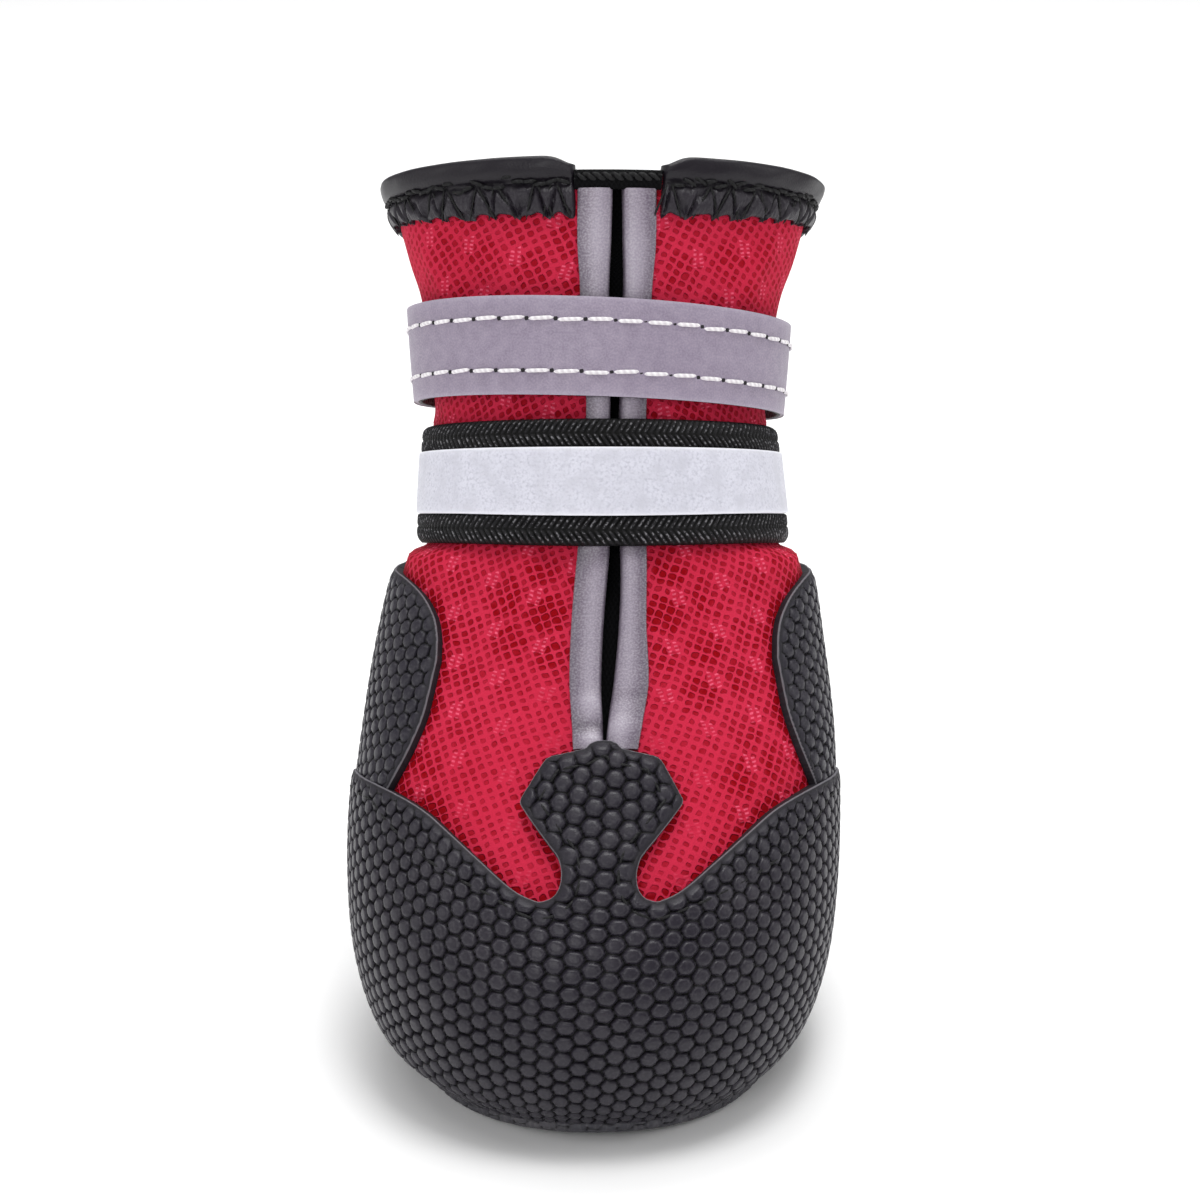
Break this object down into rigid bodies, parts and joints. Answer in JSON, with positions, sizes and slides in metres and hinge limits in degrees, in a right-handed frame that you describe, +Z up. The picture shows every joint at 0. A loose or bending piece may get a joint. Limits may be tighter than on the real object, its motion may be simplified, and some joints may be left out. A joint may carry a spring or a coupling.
{
  "type": "dog boot",
  "caption": "Dog boot with a mesh upper slit down the front, bumpy rubber toe and heel, and two hook-and-loop straps round its shaft.",
  "frame": {"origin": "on the floor under the middle of the boot's box", "axes": "+Z up, the toe points to -Y, +X is the boot's right seen from its toe"},
  "size_m": [0.0732, 0.105, 0.13],
  "materials": {
    "sole_rubber": "matte black rubber",
    "insole_fabric": "black brushed cloth",
    "red_mesh": "red air mesh with open holes",
    "black_gusset": "black stretch cloth",
    "bumpy_rubber": "charcoal rubber with six-sided bumps",
    "padded_binding": "soft black coated cloth, puckered at its seam",
    "shiny_tape": "grey tape with a soft shine",
    "grey_strap": "grey band with two rows of white stitches",
    "black_webbing": "ribbed black webbing",
    "silver_tape": "silver reflective tape"
  },
  "bodies": {
    "root": {"sole": "sole_rubber", "insole": "insole_fabric", "upper": "red_mesh", "tongue": "black_gusset", "toe_cap": "bumpy_rubber", "heel_counter": "bumpy_rubber", "collar_binding": "padded_binding", "slit_binding_left": "shiny_tape", "slit_binding_right": "shiny_tape", "upper_strap": "grey_strap", "lower_strap": "black_webbing", "reflective_tape": "silver_tape"}
  },
  "joints": []
}
